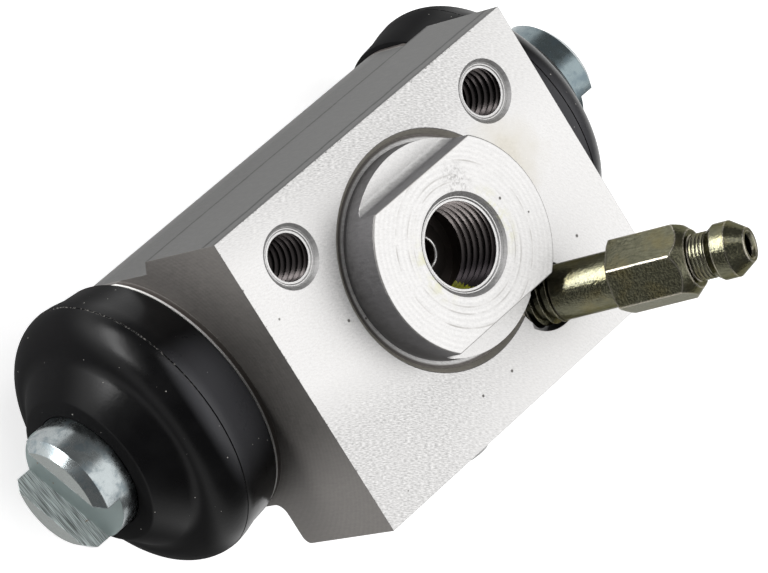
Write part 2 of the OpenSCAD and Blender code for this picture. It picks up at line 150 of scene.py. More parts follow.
def millimetres(add: Adder) -> bpy.types.NodeSocket:
    """Returns a piece's own coordinates in millimetres, which its patterns are measured in."""
    place = add("TexCoord", out="Object")
    return add("VectorMath", (place, (1 / MM, 1 / MM, 1 / MM)), operation="MULTIPLY")


def deselect() -> None:
    """Leaves object mode with nothing selected."""
    if bpy.context.object and bpy.context.object.mode != "OBJECT":
        bpy.ops.object.mode_set(mode="OBJECT")
    bpy.ops.object.select_all(action="DESELECT")


def trace(name: str, points: list[Point], closed: bool) -> bpy.types.Object:
    """Draws a line of edges by extruding one vertex from place to place.

    Args:
        name: Name of the new object.
        points: Places in millimetres.
        closed: Whether the line returns to its start.

    Returns:
        The object, still in edit mode with everything selected.
    """
    deselect()
    bpy.ops.mesh.primitive_plane_add(size=MM, location=(0, 0, 0))
    piece = bpy.context.object
    piece.name = name
    bpy.ops.object.mode_set(mode="EDIT")
    bpy.ops.mesh.select_all(action="SELECT")
    bpy.ops.mesh.merge(type="CENTER")
    route = [Vector(p) * MM for p in points]
    bpy.ops.transform.translate(value=route[0])
    for before, after in zip(route, route[1:] + (route[:1] if closed else [])):
        bpy.ops.mesh.extrude_region_move(TRANSFORM_OT_translate={"value": after - before})
    bpy.ops.mesh.select_all(action="SELECT")
    bpy.ops.mesh.remove_doubles(threshold=1e-7)
    return piece


def spin_about(axis: Point, steps: int) -> None:
    """Spins the selected edges once round an axis through the origin and closes the seam.

    Args:
        axis: Direction of the axis.
        steps: Number of faces round the turn.
    """
    bpy.ops.mesh.spin(steps=steps, angle=2 * math.pi, center=(0, 0, 0), axis=axis)
    bpy.ops.mesh.select_all(action="SELECT")
    bpy.ops.mesh.remove_doubles(threshold=1e-6)
    bpy.ops.mesh.normals_make_consistent(inside=False)


def settle(piece: bpy.types.Object, place: Matrix, sharp_deg: float = 35.0) -> bpy.types.Object:
    """Moves a finished piece to its place, puts that place in its mesh and smooths it.

    Args:
        piece: The piece, made about the origin.
        place: Where it goes, in metres.
        sharp_deg: Edges sharper than this stay sharp.

    Returns:
        The same piece.
    """
    if piece.mode != "OBJECT":
        bpy.ops.object.mode_set(mode="OBJECT")
    deselect()
    piece.select_set(True)
    bpy.context.view_layer.objects.active = piece
    piece.matrix_world = place
    bpy.ops.object.transform_apply(location=True, rotation=True, scale=True)
    bpy.ops.object.shade_smooth_by_angle(angle=math.radians(sharp_deg))
    piece.select_set(False)
    return piece


def helix(name: str, section: list[Point], pitch: float, turns: int, steps: int) -> bpy.types.Object:
    """Winds a closed section round Z.

    Args:
        name: Name of the new object.
        section: Corners of the section in millimetres, in the XZ plane.
        pitch: Rise of each turn in millimetres.
        turns: Whole turns.
        steps: Faces round each turn.

    Returns:
        The closed helical piece, in object mode.
    """
    piece = trace(name, section, closed=True)
    bpy.ops.object.mode_set(mode="OBJECT")
    wind = piece.modifiers.new("wind", "SCREW")
    wind.axis = "Z"
    wind.screw_offset = pitch * MM
    wind.iterations = turns
    wind.steps = steps
    wind.render_steps = steps
    wind.use_merge_vertices = False
    wind.use_smooth_shade = False
    bpy.ops.object.modifier_apply(modifier=wind.name)
    bpy.ops.object.mode_set(mode="EDIT")
    bpy.ops.mesh.select_all(action="SELECT")
    bpy.ops.mesh.fill_holes(sides=len(section))
    bpy.ops.mesh.select_all(action="SELECT")
    bpy.ops.mesh.normals_make_consistent(inside=False)
    bpy.ops.object.mode_set(mode="OBJECT")
    return piece


def round_section(centre: tuple[float, float], radius: float, sides: int) -> list[Point]:
    """Draws a round section.

    Args:
        centre: Radius and height of its centre.
        radius: Its own radius.
        sides: Number of straight sides.

    Returns:
        Corners in the XZ plane.
    """
    angles = [2 * math.pi * i / sides for i in range(sides)]
    return [(centre[0] + radius * math.cos(a), 0, centre[1] + radius * math.sin(a)) for a in angles]


def ridge_section(root: float, crest: float, middle: float, half: float, flat: float) -> list[Point]:
    """Draws the section of a thread's ridge.

    Args:
        root: Radius where the ridge stands on its wall.
        crest: Radius of the ridge's crest.
        middle: Height of the ridge's middle.
        half: Half its width at the root.
        flat: Half its width at the crest.

    Returns:
        Corners in the XZ plane.
    """
    corners = ((root, -half), (crest, -flat), (crest, flat), (root, half))
    return [(radius, 0, middle + rise) for radius, rise in corners]


def dress(piece: bpy.types.Object, material: bpy.types.Material) -> None:
    """Gives a piece one material all over.

    Args:
        piece: The object to dress.
        material: What it is made of.
    """
    piece.data.materials.clear()
    piece.data.materials.append(material)


def join_body(piece: bpy.types.Object, material: bpy.types.Material) -> bpy.types.Object:
    """Dresses a piece and fixes it to the body.

    Args:
        piece: The object to fix.
        material: What it is made of.

    Returns:
        The same piece.
    """
    dress(piece, material)
    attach(piece, "housing")
    return piece


def bleeder_place() -> Matrix:
    """Returns the place of the bleeder's axis, with its zero at the mounting face."""
    lean = Matrix.Rotation(math.radians(BLEED_TILT), 4, "Y")
    turn = Matrix.Rotation(math.radians(BLEED_TURN), 4, "Z")
    return Matrix.Translation(Vector(BLEED_BASE) * MM) @ turn @ lean


def bore_place(end: End) -> Matrix:
    """Returns the place of the bore's axis, with local Z pointing out of one end."""
    return Matrix.Translation((0, 0, -BORE_DROP * MM)) @ Matrix.Rotation(end.value * math.pi / 2, 4, "Y")


@dataclass(frozen=True)
class MilledAluminium:
    """Machined aluminium: pale where the cutter faced it, grey on walls and turned ends, with small pits, and
    with painted shade and highlights on walls, edges, the groove, the spigot and in the holes.
    """

    face: str = "#dcdbda"
    wall: str = "#7c7b7c"
    side: str = "#595958"
    lit_groove_slope: str = "#b3aea4"
    groove_floor_shade: str = "#6b6764"
    # Colour of the painted shade inside the port and the tapped holes.
    inside: str = "#7d7672"
    # Colour of the painted shade along the boss's top edges.
    edge: str = "#7b7976"
    tool_line: str = "#94918c"
    turned: str = "#6d6a67"
    shoulder_shade: str = "#4b4542"
    corner_highlight: str = "#f2f1ee"
    pit: str = "#3a3531"
    # Dark colour of the flank lines, the lowest of them painted shade at the step.
    rubbed: str = "#1f1e1d"
    film: str = "#c9c88f"
    stain: str = "#cbc7bd"
    flank_lines: tuple[Point, ...] = ((1.75, 0.35, 0.8), (0.2, 0.25, 0.35), (11.7, 0.4, 0.7))
    tool_lines: tuple[tuple[float, float], ...] = ((8.3, 0.75), (6.9, 0.5), (6.2, 0.55))
    cut_along: Point = (0.777, -0.629, 0)
    cut_across: Point = (0.629, 0.777, 0)
    stain_at: Point = (13.2, 2.4, 0)
    smudge_at: Point = (3.0, 5.5, 4.5)
    grain_mm: float = 0.17
    line_mm: float = 0.22
    waver_mm: float = 2.0
    blotch_mm: float = 2.86
    smear_mm: float = 1.11
    dirt_mm: float = 0.385
    pit_mm: float = 2.2
    ring_mm: float = 0.55
    edge_mm: float = 0.06

    def build(self) -> bpy.types.Material:
        """Builds the material; cutter lines cross the face, and rings run round the boss and the ends."""
        material, add, shader = new_material("milled_aluminium")
        mm = millimetres(add)
        axes = add("SeparateXYZ", (mm,)).node.outputs
        facing = add("NewGeometry", out="Normal")
        upward = add("SeparateXYZ", (facing,), out=2)
        # Distance from the port's axis and from the bore's axis, for rings left by the tools.
        flat = add("VectorMath", (mm, (1, 1, 0)), operation="MULTIPLY")
        port_r = add("VectorMath", (flat,), operation="LENGTH", out="Value")
        about = add("VectorMath", (mm, (0, 0, BORE_DROP)), operation="ADD")
        across = add("VectorMath", (about, (0, 1, 1)), operation="MULTIPLY")
        bore_r = add("VectorMath", (across,), operation="LENGTH", out="Value")
        # Regions: faced surfaces look up, ends lie past the bore's length, the boss stands above the face.
        faced = add("MapRange", (upward, 0.35, 0.97))
        far_x = add("Math", (axes[0],), operation="ABSOLUTE")
        ends = add("MapRange", (far_x, END_X - 0.03, END_X - 0.01))
        rim = add("MapRange", (far_x, END_X + 0.03, END_X + 0.3))
        lip = add("MapRange", (axes[0], -END_X - 0.56, -END_X - 0.5, 1.0, 0.0))
        flank = add("MapRange", (axes[1], 12.8, 13.0))
        sunk = add("MapRange", (axes[2], -0.1, -0.02, 1.0, 0.0))
        ringed = add("MapRange", (port_r, 11.2, 11.4))
        near = add("MapRange", (port_r, 12.25, 12.3, 1.0, 0.0))
        shallow = add("MapRange", (axes[2], -0.7, -0.65))
        trench = sunk
        for mask in (ringed, near, shallow):
            trench = add("Math", (trench, mask), operation="MULTIPLY")
        boss = add("MapRange", (axes[2], 4.3, 4.4))
        # Up-facing surfaces take the pale face tone and steep ones the grey wall or flank tone: partly their
        # finish, partly painted shade on the walls.
        wall_tone_and_shade = add("Mix", {0: flank, 6: linear(self.wall), 7: linear(self.side)}, **MIX_COLOURS)
        tone = add("Mix", {0: faced, 6: wall_tone_and_shade, 7: linear(self.face)}, **MIX_COLOURS)
        # The groove round the boss: its floor is painted dark, as the shade down in the groove, and its outer
        # slope is painted lighter, as painted light.
        sloped = add("MapRange", (port_r, 11.6, 11.7))
        low = add("Mix", {0: sloped, 6: linear(self.groove_floor_shade), 7: linear(self.lit_groove_slope)}, **MIX_COLOURS)
        for mask, colour in ((trench, low), (ends, linear(self.turned))):
            tone = add("Mix", {0: mask, 6: tone, 7: colour}, **MIX_COLOURS)
        # Painted reflection of the boots: the ends are darker in their middle, beside the boots, than at
        # their corners.
        beside = add("Math", (axes[1], 1.0), operation="ADD")
        beside = add("Math", (beside,), operation="ABSOLUTE")
        painted_boot_reflection = add("MapRange", (beside, 5.0, 12.0, 0.68, 1.12))
        painted_boot_reflection = add("Mix", {0: ends, 2: 1.0, 3: painted_boot_reflection}, data_type="FLOAT")
        tone = add("VectorMath", {0: tone, 3: painted_boot_reflection}, operation="SCALE")
        # Painted shadow and highlight: the spigot's shoulder at both ends is dark, as in the shade of the
        # spigot ring and boot, and the near spigot's outer corner is near white, as its highlight.
        for mask, colour in ((rim, self.shoulder_shade), (lip, self.corner_highlight)):
            tone = add("Mix", {0: mask, 6: tone, 7: linear(colour)}, **MIX_COLOURS)
        # Dark lines along the flank: two just under the face edge, and one lower down at the flank's step,
        # which is painted shade of that step.
        waver = add("TexNoise", {"Vector": mm, "Scale": 1 / self.waver_mm, "Detail": 3.0})
        wander = add("Math", (waver, 0.5, axes[2]), operation="MULTIPLY_ADD")
        cast = add("Math", (1.0, ends), operation="SUBTRACT")
        upright = add("MapRange", (upward, 0.1, 0.3, 1.0, 0.0))
        for mask in (flank, upright):
            cast = add("Math", (cast, mask), operation="MULTIPLY")
        for depth, width, strength in self.flank_lines:
            off = add("Math", (wander, depth), operation="ADD")
            off = add("Math", (off,), operation="ABSOLUTE")
            line = add("MapRange", (off, width * 0.4, width, strength, 0.0))
            line = add("Math", (line, cast), operation="MULTIPLY")
            tone = add("Mix", {0: line, 6: tone, 7: linear(self.rubbed)}, **MIX_COLOURS)
        # Fine grain, coarser than the real one so that it shows, and cutter lines that bend across the face.
        grain = add("TexNoise", {"Vector": mm, "Scale": 1 / self.grain_mm, "Detail": 3.0, "Roughness": 0.7})
        along = add("VectorMath", (mm, self.cut_along), operation="DOT_PRODUCT", out="Value")
        cross = add("VectorMath", (mm, self.cut_across), operation="DOT_PRODUCT", out="Value")
        square = add("Math", (along, 2.0), operation="POWER")
        bent = add("Math", (square, 0.008, cross), operation="MULTIPLY_ADD")
        bent = add("Math", (bent, 1 / self.line_mm), operation="MULTIPLY")
        slow = add("Math", (along, 2.2), operation="MULTIPLY")
        drawn_at = add("CombineXYZ", (slow, bent, axes[2]))
        drawn = add("TexNoise", {"Vector": drawn_at, "Scale": 1.0, "Detail": 2.0})
        mixed = add("Math", (grain, drawn), operation="ADD")
        speck = add("MapRange", (mixed, 0.7, 1.3, 0.82, 1.12))
        # Away from a band across the face's middle the cutter lines show finer and darker, and the face is
        # darker there: painted shade where the lamp's reflection in the milled face falls off.
        long = add("Math", (along, 1.1), operation="MULTIPLY")
        dug_at = add("CombineXYZ", (long, bent, axes[2]))
        dug = add("TexNoise", {"Vector": dug_at, "Scale": 2.2, "Detail": 1.0})
        scored = add("MapRange", (dug, 0.3, 0.7, 0.62, 0.99))
        off_reflection_band = add("VectorMath", (mm, (0.22, 1, 0)), operation="DOT_PRODUCT", out="Value")
        off_reflection_band = add("Math", (off_reflection_band,), operation="ABSOLUTE")
        dull = add("MapRange", (off_reflection_band, 6.5, 12.5))
        to_corner = add("VectorMath", (mm, (1, -0.75, 0)), operation="DOT_PRODUCT", out="Value")
        fading = add("MapRange", (to_corner, 0.0, 22.0, 1.0, 0.0))
        off_boss = add("MapRange", (axes[2], 0.5, 1.0, 1.0, 0.0))
        for mask in (fading, faced, off_boss):
            dull = add("Math", (dull, mask), operation="MULTIPLY")
        speck = add("Mix", {0: dull, 2: speck, 3: scored}, data_type="FLOAT")
        tone = add("VectorMath", {0: tone, 3: speck}, operation="SCALE")
        # Rings: a wave of the radius, broken up by noise.
        broken = add("TexNoise", {"Vector": mm, "Scale": 1 / self.blotch_mm, "Detail": 2.0})
        waves = []
        for radius, area in ((port_r, boss), (bore_r, ends)):
            wave = add("Math", (radius, 2 * math.pi / self.ring_mm), operation="MULTIPLY")
            wave = add("Math", (wave,), operation="SINE")
            waves.append(add("Math", (wave, area), operation="MULTIPLY"))
        rings = add("Math", tuple(waves), operation="ADD")
        rings = add("Math", (rings, broken), operation="MULTIPLY")
        ring_shade = add("MapRange", (rings, -0.6, 0.6, 0.95, 1.03))
        tone = add("VectorMath", {0: tone, 3: ring_shade}, operation="SCALE")
        # Dark lines a tenth of a millimetre wide along the top edges of the boss and its flats: painted shade
        # of those edges.
        across_y = add("Math", (axes[1],), operation="ABSOLUTE")
        flat_edge = add("MapRange", (across_y, 8.06, 8.12, 0.0, 0.7))
        round_edge = add("MapRange", (port_r, 10.78, 10.84, 0.0, 0.6))
        edge_shade = add("Math", (flat_edge, round_edge), operation="MAXIMUM")
        edge_shade = add("Math", (edge_shade, boss), operation="MULTIPLY")
        tone = add("Mix", {0: edge_shade, 6: tone, 7: linear(self.edge)}, **MIX_COLOURS)
        # Deeper tool lines on the boss, strongest where the noise lets them show.
        shown = add("MapRange", (broken, 0.4, 0.65))
        for radius, depth in self.tool_lines:
            line_r = add("Math", (port_r, radius), operation="SUBTRACT")
            line_r = add("Math", (line_r,), operation="ABSOLUTE")
            line = add("MapRange", (line_r, 0.02, 0.12, depth, 0.0))
            for mask in (boss, shown):
                line = add("Math", (line, mask), operation="MULTIPLY")
            tone = add("Mix", {0: line, 6: tone, 7: linear(self.tool_line)}, **MIX_COLOURS)
        # Faint yellowish film on two sides of the port, and one beige stain on the face beside the boss.
        film = add("MapRange", (port_r, 5.4, 6.9, 0.4, 0.0))
        side_x = add("Math", (far_x, port_r), operation="DIVIDE")
        two_sides = add("MapRange", (side_x, 0.7, 0.95))
        smear = add("TexNoise", {"Vector": mm, "Scale": 1 / self.smear_mm, "Detail": 4.0})
        smeared = add("MapRange", (smear, 0.45, 0.6))
        for mask in (two_sides, boss, smeared):
            film = add("Math", (film, mask), operation="MULTIPLY")
        from_stain = add("VectorMath", (mm, self.stain_at), operation="DISTANCE", out="Value")
        ragged = add("Math", (broken, 5.0, from_stain), operation="MULTIPLY_ADD")
        stained = add("MapRange", (ragged, 3.6, 7.6, 0.85, 0.0))
        # A dark smudge beside the port, and a ragged burr along the near end's edge and the flank's edge.
        from_smudge = add("VectorMath", (mm, self.smudge_at), operation="DISTANCE", out="Value")
        smudge = add("MapRange", (from_smudge, 0.5, 2.4, 0.5, 0.0))
        dirt = add("TexNoise", {"Vector": mm, "Scale": 1 / self.dirt_mm, "Detail": 4.0, "Roughness": 0.7})
        dirty = add("MapRange", (dirt, 0.48, 0.66))
        smudge = add("Math", (smudge, dirty), operation="MULTIPLY")
        to_end = add("Math", (axes[0], END_X), operation="ADD")
        to_flank = add("Math", (FLANK_Y, axes[1]), operation="SUBTRACT")
        to_edge = add("Math", (to_end, to_flank), operation="MINIMUM")
        ragged_in = add("MapRange", (dirt, 0.55, 0.8, 0.04, -0.5))
        in_burr = add("Math", (to_edge, ragged_in), operation="ADD")
        burr = add("MapRange", (in_burr, -0.02, 0.03, 0.75, 0.0))
        burr = add("Math", (burr, faced), operation="MULTIPLY")
        smudge = add("Math", (smudge, burr), operation="MAXIMUM")
        # The insides of the port and the tapped holes are painted darker: painted shade down in the holes.
        in_port = add("MapRange", (port_r, 5.25, 5.3, 1.0, 0.0))
        port_deep = add("MapRange", (axes[2], 3.2, 3.4, 1.0, 0.0))
        in_port = add("Math", (in_port, port_deep), operation="MULTIPLY")
        hole_at = add("CombineXYZ", (far_x, axes[1], 0.0))
        hole_r = add("VectorMath", (hole_at, (TAPPED_X, TAPPED_Y, 0)), operation="DISTANCE", out="Value")
        in_hole = add("MapRange", (hole_r, 3.1, 3.15, 1.0, 0.0))
        hole_deep = add("MapRange", (axes[2], -0.8, -0.6, 1.0, 0.0))
        in_hole = add("Math", (in_hole, hole_deep), operation="MULTIPLY")
        hole_shade = add("Math", (in_port, in_hole), operation="MAXIMUM")
        above_bore = add("MapRange", (axes[2], -16.0, -15.5))
        hole_shade = add("Math", (hole_shade, above_bore), operation="MULTIPLY")
        # Small casting pits opened by the cutter: a few in each square centimetre.
        cells = add("TexVoronoi", {"Vector": mm, "Scale": 1 / self.pit_mm})
        chosen = add("SeparateColor", (cells.node.outputs["Color"],)).node.outputs
        spot = add("MapRange", (chosen[0], 0.7, 1.0, 0.0, 0.1))
        hole = add("Math", (spot, cells.node.outputs["Distance"]), operation="SUBTRACT")
        pits = add("MapRange", (hole, 0.0, 0.03, 0.0, 0.85))
        marks = ((film, self.film), (stained, self.stain), (smudge, self.pit))
        for mask, colour in (*marks, (hole_shade, self.inside), (pits, self.pit)):
            tone = add("Mix", {0: mask, 6: tone, 7: linear(colour)}, **MIX_COLOURS)
        # Dirt and oxide hide some of the bare metal on the ends and the groove's slope; the near lip is left
        # nearly without metal shine, so that its painted highlight shows.
        dulled = add("Math", (trench, sloped), operation="MULTIPLY")
        bare = 1.0
        for mask, metallic in ((ends, 0.6), (lip, 0.1), (dulled, 0.3)):
            bare = add("Mix", {0: mask, 2: bare, 3: metallic}, data_type="FLOAT")
        gloss = add("MapRange", (mixed, 0.7, 1.3, 0.5, 0.62))
        # Edges broken by a light deburr, so that they catch the light.
        edge = add("Bevel", {"Radius": self.edge_mm * MM}, samples=4)
        relief = add("Math", (mixed, rings), operation="ADD")
        bump = add("Bump", {"Height": relief, "Strength": 0.1, "Distance": 0.02 * MM, "Normal": edge})
        plug(shader, {"Base Color": tone, "Metallic": bare, "Roughness": gloss, "Normal": bump})
        return material


@dataclass(frozen=True)
class CutThread:
    """Tapped aluminium thread: dark between its flanks, with painted shade over one side of the port and in
    the tapped holes, and a dab of old sealant low in the port.
    """

    metal: str = "#c4bbb8"
    thread_shade_colour: str = "#383436"
    sealant: str = "#bcc01c"
    smear_half: float = 0.6
    smear_lean: float = 0.37
    smear_y: float = -3.4
    ragged_mm: float = 0.625

    def build(self) -> bpy.types.Material:
        """Builds the material; the sealant's yellow runs down the ridges on one side of the port."""
        material, add, shader = new_material("tapped_aluminium_thread")
        mm = millimetres(add)
        off = add("VectorMath", (mm, (1, 0, self.smear_lean)), operation="DOT_PRODUCT", out="Value")
        off = add("Math", (off,), operation="ABSOLUTE")
        ragged = add("TexNoise", {"Vector": mm, "Scale": 1 / self.ragged_mm, "Detail": 3.0})
        off = add("Math", (off, ragged), operation="ADD")
        mask = add("MapRange", (off, self.smear_half + 0.3, self.smear_half + 0.5, 1.0, 0.0))
        height = add("SeparateXYZ", (mm,), out=1)
        sided = add("MapRange", (height, self.smear_y, self.smear_y + 0.2, 1.0, 0.0))
        mask = add("Math", (mask, sided), operation="MULTIPLY")
        # Painted shade darkens the tapped holes and one side of the port.
        painted_thread_shade = add("MapRange", (height, -3.6, 1.4, 1.0, 0.0))
        tapped = add("MapRange", (height, 5.4, 5.6, 0.0, 0.8))
        painted_thread_shade = add("Math", (painted_thread_shade, tapped), operation="MAXIMUM")
        tone = add("Mix", {0: painted_thread_shade, 6: linear(self.metal), 7: linear(self.thread_shade_colour)}, **MIX_COLOURS)
        tone = add("Mix", {0: mask, 6: tone, 7: linear(self.sealant)}, **MIX_COLOURS)
        bare = add("Math", (1.0, mask), operation="SUBTRACT")
        plug(shader, {"Base Color": tone, "Metallic": bare, "Roughness": 0.24})
        return material


@dataclass(frozen=True)
class BurnishedRimPaintedHighlight:
    """Aluminium burnished by a pipe flare pressed on it: a bright line round the passage, its near-white,
    partly diffuse colour a painted highlight.
    """

    metal: str = "#f1f0ee"
    worn_mm: float = 1.11

    def build(self) -> bpy.types.Material:
        """Builds the material; only its gloss varies a little round the rim."""
        material, add, shader = new_material("burnished_rim_painted_highlight")
        place = add("TexCoord", out="Object")
        worn = add("TexNoise", {"Vector": place, "Scale": 1 / (self.worn_mm * MM)})
        gloss = add("MapRange", {0: worn, 3: 0.2, 4: 0.34})
        # The near-white colour, partly diffuse, is painted highlight, so the rim stays bright deep in the
        # port.
        plug(shader, {"Base Color": linear(self.metal), "Metallic": 0.6, "Roughness": gloss})
        return material


@dataclass(frozen=True)
class ZincPlate:
    """Bright zinc on turned steel: cloudy bluish patches, and a dull slot with file marks on its walls."""

    end: End
    slot_turn: float
    bright: str
    cloud: str = "#5f6c73"
    floor: str = "#7c8786"
    filed: str = "#a2a9a8"
    face: str = "#7c807e"
    rust: str = "#6d4c2a"
    slot_floor: float = 36.6
    slot_half: float = 3.45
    tip: float = 39.3
    cloud_mm: float = 1.4
    line_mm: float = 0.08
    fleck_mm: float = 0.77
    edge_mm: float = 0.12

    def build(self) -> bpy.types.Material:
        """Builds the material; the slot's marks keep to the slot, whichever way it is turned."""
        material, add, shader = new_material(f"zinc_plated_steel_{self.end.name.lower()}")
        mm = millimetres(add)
        about = add("VectorMath", (mm, (0, 0, BORE_DROP)), operation="ADD")
        turn = math.radians(self.slot_turn)
        over = (0.0, math.sin(turn), math.cos(turn))
        offset = add("VectorMath", (about, over), operation="DOT_PRODUCT", out="Value")
        along = (0.0, -math.cos(turn), math.sin(turn))
        run = add("VectorMath", (about, along), operation="DOT_PRODUCT", out="Value")
        axes = add("SeparateXYZ", (mm,)).node.outputs
        out = add("Math", (axes[0], float(self.end.value)), operation="MULTIPLY")
        # Clouds of plating, a millimetre or so across.
        clouds = add("TexNoise", {"Vector": mm, "Scale": 1 / self.cloud_mm, "Detail": 4.0, "Roughness": 0.65})
        cloudy = add("MapRange", (clouds, 0.48, 0.64, 0.0, 0.65))
        tone = add("Mix", {0: cloudy, 6: linear(self.bright), 7: linear(self.cloud)}, **MIX_COLOURS)
        # The slot: its floor inside the width, its walls where the width ends.
        wide = add("Math", (offset,), operation="ABSOLUTE")
        inside = add("MapRange", (wide, self.slot_half + 0.02, self.slot_half + 0.04, 1.0, 0.0))
        deep = add("MapRange", (out, self.slot_floor - 0.05, self.slot_floor - 0.02))
        slot = add("Math", (inside, deep), operation="MULTIPLY")
        high = add("MapRange", (out, self.slot_floor + 0.02, self.slot_floor + 0.05))
        walls = add("Math", (slot, high), operation="MULTIPLY")
        ends = add("MapRange", (out, self.tip - 0.05, self.tip - 0.02))
        for mask, colour in ((ends, self.face), (slot, self.floor), (walls, self.filed)):
            tone = add("Mix", {0: mask, 6: tone, 7: linear(colour)}, **MIX_COLOURS)
        # File marks, slantwise across the walls.
        slant = add("Math", (run, -0.2, out), operation="MULTIPLY_ADD")
        slant = add("Math", (slant, 1 / self.line_mm), operation="MULTIPLY")
        slow = add("Math", (run, 0.3), operation="MULTIPLY")
        marks_at = add("CombineXYZ", (slant, slow, 0.0))
        marks = add("TexNoise", {"Vector": marks_at, "Scale": 1.0, "Detail": 2.0})
        scored = add("MapRange", (marks, 0.35, 0.65, 0.25, 1.55))
        shade = add("Mix", {0: walls, 2: 1.0, 3: scored}, data_type="FLOAT")
        tone = add("VectorMath", {0: tone, 3: shade}, operation="SCALE")
        # A small brown fleck where the plating is thin on the slot's floor.
        flecks = add("TexNoise", {"Vector": mm, "Scale": 1 / self.fleck_mm, "Detail": 3.0})
        fleck = add("MapRange", (flecks, 0.7, 0.75, 0.0, 0.7))
        fleck = add("Math", (fleck, slot), operation="MULTIPLY")
        tone = add("Mix", {0: fleck, 6: tone, 7: linear(self.rust)}, **MIX_COLOURS)
        bare = add("Mix", {0: slot, 2: 1.0, 3: 0.55}, data_type="FLOAT")
        gloss = add("MapRange", (clouds, 0.35, 0.7, 0.18, 0.38))
        dull = add("Mix", {0: slot, 2: gloss, 3: 0.5}, data_type="FLOAT")
        edge = add("Bevel", {"Radius": self.edge_mm * MM}, samples=4)
        ripple = add("Math", (marks, walls), operation="MULTIPLY")
        relief = add("Math", (clouds, ripple), operation="ADD")
        bump = add("Bump", {"Height": relief, "Strength": 0.05, "Distance": 0.03 * MM, "Normal": edge})
        plug(shader, {"Base Color": tone, "Metallic": bare, "Roughness": dull, "Normal": bump})
        return material


@dataclass(frozen=True)
class OliveChromate:
    """Olive chromate on steel: greenish brown and glossy, with drawn lines along the screw."""

    name: str = "olive_chromated_steel"
    dark: str = "#494839"
    light: str = "#666553"
    gold: str = "#6b623f"
    # Pale colour of the corners: wear of the plating, and a painted highlight.
    worn: str = "#d6cfc2"
    grazed: str = "#98978a"
    line_mm: float = 0.18
    grit_mm: float = 0.26
    tint_mm: float = 2.22
    edge_mm: float = 0.3

    def build(self) -> bpy.types.Material:
        """Builds the material; streaks run along the screw and tint shifts from olive to gold."""
        material, add, shader = new_material(self.name)
        mm = millimetres(add)
        frame_rows = bleeder_place().to_3x3().transposed()
        local = [
            add("VectorMath", (mm, tuple(row)), operation="DOT_PRODUCT", out="Value")
            for row in frame_rows
        ]
        long = add("Math", (local[2], self.line_mm * 1.6), operation="MULTIPLY")
        lined = add("CombineXYZ", (local[0], local[1], long))
        lines = add("TexNoise", {"Vector": lined, "Scale": 1 / self.line_mm, "Detail": 3.0, "Roughness": 0.6})
        broad = add("TexNoise", {"Vector": mm, "Scale": 1 / self.tint_mm, "Detail": 3.0})
        streak = add("MapRange", (lines, 0.3, 0.7))
        tone = add("Mix", {0: streak, 6: linear(self.dark), 7: linear(self.light)}, **MIX_COLOURS)
        tint = add("MapRange", (broad, 0.48, 0.7, 0.0, 0.5))
        tone = add("Mix", {0: tint, 6: tone, 7: linear(self.gold)}, **MIX_COLOURS)
        # The corners are painted pale: partly plating rubbed thin there, partly a painted highlight along the
        # edges.
        edge = add("Bevel", {"Radius": self.edge_mm * MM}, samples=6)
        facing = add("NewGeometry", out="Normal")
        same = add("VectorMath", (edge, facing), operation="DOT_PRODUCT", out="Value")
        rubbed = add("MapRange", (same, 0.93, 0.985, 0.75, 0.0))
        tone = add("Mix", {0: rubbed, 6: tone, 7: linear(self.worn)}, **MIX_COLOURS)
        gloss = add("MapRange", (lines, 0.3, 0.7, 0.14, 0.26))
        grit = add("TexNoise", {"Vector": mm, "Scale": 1 / self.grit_mm, "Detail": 2.0})
        relief = add("Math", (lines, grit), operation="ADD")
        bump = add("Bump", {"Height": relief, "Strength": 0.9, "Distance": 0.03 * MM, "Normal": edge})
        plug(shader, {"Base Color": tone, "Metallic": 1.0, "Roughness": gloss, "Normal": bump})
        # The chromate film is a thin gloss coat, and stays dark where it is seen at a shallow angle.
        plug(shader, {"Specular Tint": linear(self.grazed), "Coat Weight": 0.2, "Coat Roughness": 0.12})
        return material


